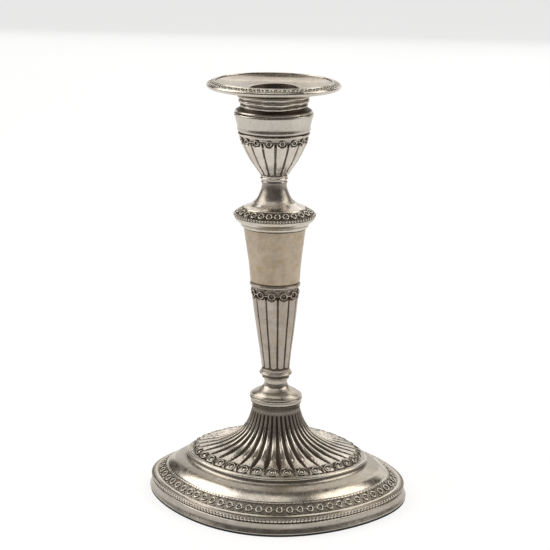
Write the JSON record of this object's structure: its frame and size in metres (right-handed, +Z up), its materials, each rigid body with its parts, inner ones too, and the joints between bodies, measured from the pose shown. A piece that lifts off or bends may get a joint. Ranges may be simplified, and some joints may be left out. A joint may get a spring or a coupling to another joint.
{
  "type": "candlestick",
  "caption": "Tall oval candlestick with a wide banded foot, fluted trumpet, tapering stem, beaded collar, urn-shaped holder and a loose drip-pan nozzle for one candle.",
  "frame": {"origin": "centre of the face the candlestick rests on", "axes": "+Z up along the candle's axis; X along the long axis of the oval foot, Y across it, -Y towards the front"},
  "size_m": [0.128, 0.0996, 0.2045],
  "materials": {
    "tarnished_silver": "satin",
    "stained_silver": "satin",
    "oxidised_silver": "satin",
    "baize": "matte",
    "board": "matte",
    "pitch": "matte",
    "iron": "matte"
  },
  "bodies": {
    "candlestick": {"baize_pad": "baize", "base_board": "board", "foot_apron": "tarnished_silver", "foot_bead_wire": "tarnished_silver", "foot_skirt": "tarnished_silver", "fluted_trumpet": "tarnished_silver", "foot_filling": "pitch", "knop_ring": "tarnished_silver", "knop_wire": "tarnished_silver", "knop_bell": "tarnished_silver", "stem_base_ring": "tarnished_silver", "stem_front_half": "stained_silver", "stem_back_half": "stained_silver", "stem_wire": "tarnished_silver", "collar_dish": "tarnished_silver", "collar_bead_wire": "tarnished_silver", "collar_cap": "tarnished_silver", "neck": "tarnished_silver", "stem_filling": "pitch", "urn_foot_ring": "tarnished_silver", "urn_cup": "tarnished_silver", "urn_wire": "tarnished_silver", "urn_band": "tarnished_silver", "urn_floor": "oxidised_silver", "urn_filling": "pitch", "load_rod": "iron", "rod_washer": "iron", "rod_nut": "iron"},
    "nozzle": {"nozzle_pan": "tarnished_silver", "nozzle_rim_wire": "tarnished_silver", "nozzle_collar": "tarnished_silver", "nozzle_socket": "oxidised_silver"}
  },
  "joints": [
    {"name": "nozzle_lift", "type": "slide", "parent": "candlestick", "child": "nozzle", "axis": [0, 0, 1], "range_m": [0, 0.04]}
  ]
}
